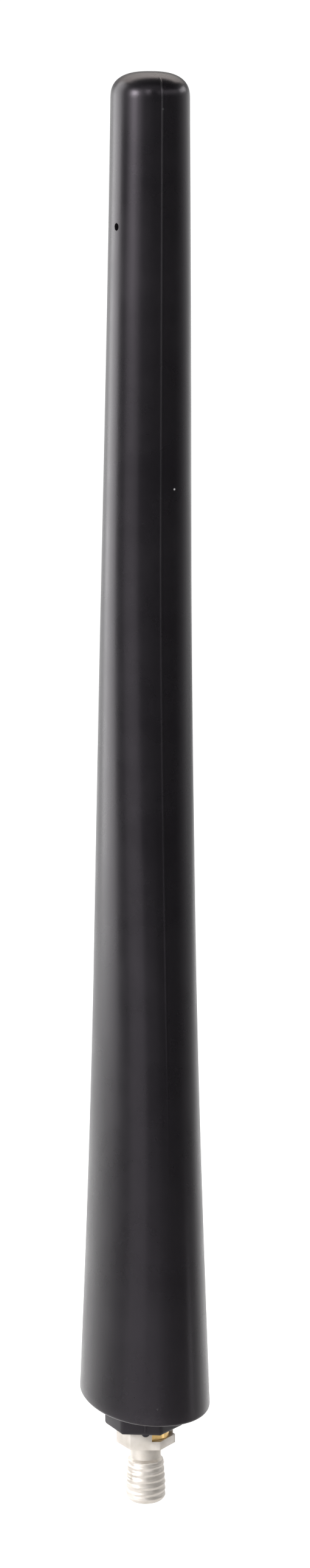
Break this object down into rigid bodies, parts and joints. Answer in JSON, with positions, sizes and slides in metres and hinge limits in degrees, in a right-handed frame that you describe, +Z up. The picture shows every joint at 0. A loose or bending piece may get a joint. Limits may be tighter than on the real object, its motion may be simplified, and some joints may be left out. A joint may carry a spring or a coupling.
{
  "type": "car mast aerial",
  "caption": "Short roof aerial for a car: a black moulded mast of oval section that flares to its foot, on a plated hexagonal flange with a threaded stud.",
  "frame": {"origin": "centre of the flange's underside, the face that seats on the aerial base, on the stud's axis", "axes": "+Z up the mast, +Y along the oval section's long axis towards the trailing edge, +X across its width"},
  "size_m": [0.0184, 0.0301, 0.2123],
  "materials": {
    "mast_black": "satin moulded black with a fine grain",
    "collar_black": "satin black",
    "plated_metal": "bright nickel plate over turned brass",
    "bare_brass": "turned, slightly dull",
    "solder": "dull grey",
    "glass_fibre": "satin",
    "copper": "enamelled",
    "sleeve_black": "matt",
    "cap_grey": "matt"
  },
  "bodies": {
    "root": {"mast_cover": "mast_black", "hex_collar": "collar_black", "threaded_stud": "plated_metal", "brass_ferrule": "bare_brass", "solder_joint": "solder", "core_rod": "glass_fibre", "coil_wire": "copper", "shrink_sleeve": "sleeve_black", "rod_cap": "cap_grey"}
  },
  "joints": []
}
